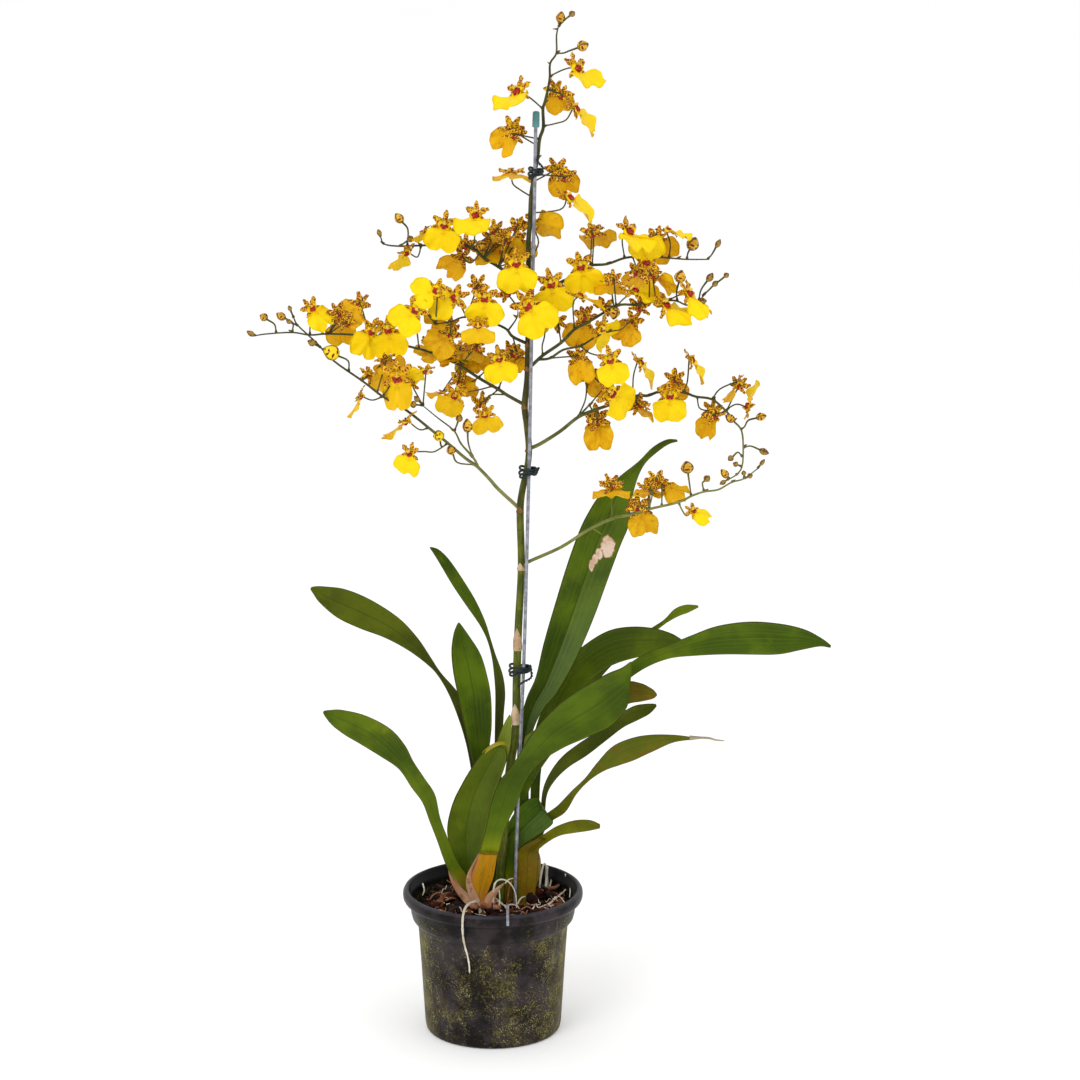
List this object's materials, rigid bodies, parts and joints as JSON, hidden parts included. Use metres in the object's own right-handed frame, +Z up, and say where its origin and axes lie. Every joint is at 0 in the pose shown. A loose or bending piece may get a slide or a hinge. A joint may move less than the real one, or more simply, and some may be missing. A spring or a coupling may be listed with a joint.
{
  "type": "potted oncidium orchid",
  "caption": "Oncidium orchid in a black plastic nursery pot: strap leaves and one wire-staked stem with branched sprays of yellow flowers.",
  "frame": {"origin": "Centre of the underside of the pot, on the surface it stands on.", "axes": "+Z up along the stem; +X to the right and -Y towards the viewer, with the flower sprays spread mostly along X."},
  "size_m": [0.4137, 0.1319, 0.7382],
  "materials": {
    "plastic": "thin black nursery-pot plastic, dulled and stained",
    "bark": "damp broken bark, matt",
    "root": "dry white root skin, matt",
    "stem": "smooth green stem, satin",
    "wire": "grey galvanised wire, dull",
    "cap": "soft teal plastic tip",
    "tie": "dark green plastic-coated tie wire",
    "bulb": "ribbed yellow-green bulb, satin",
    "leaf": "leathery green leaf, satin",
    "yellow_leaf": "yellowing leaf, satin",
    "dark_leaf": "dark green leathery leaf, satin",
    "flower": "thin waxy yellow petals, satin"
  },
  "bodies": {
    "root": {"pot": "plastic", "bark": "bark", "root_over_rim": "root", "root_arch": "root", "root_front": "root", "root_right": "root", "stem": "stem", "stake": "wire", "stake_cap": "cap", "wire_hook": "wire", "tie_low": "tie", "tie_middle": "tie", "tie_top": "tie", "bulb_old": "bulb", "bulb_green": "bulb", "leaf_left_upper": "leaf", "leaf_left_lower": "leaf", "leaf_back_upright": "leaf", "leaf_narrow": "leaf", "leaf_tall": "leaf", "leaf_arching": "leaf", "leaf_small_back": "leaf", "leaf_far_right": "leaf", "leaf_front_broad": "leaf", "leaf_big_front": "leaf", "leaf_speckled": "yellow_leaf", "leaf_dark_petiole": "leaf", "leaf_olive": "yellow_leaf", "leaf_low_right": "yellow_leaf", "leaf_dark_short": "dark_leaf", "spray_top": "flower", "spray_right_4": "flower", "spray_right_3": "flower", "spray_right_2": "flower", "spray_right_1": "flower", "spray_left_1": "flower", "spray_left_2": "flower", "spray_left_3": "flower", "spray_left_4": "flower"}
  },
  "joints": []
}
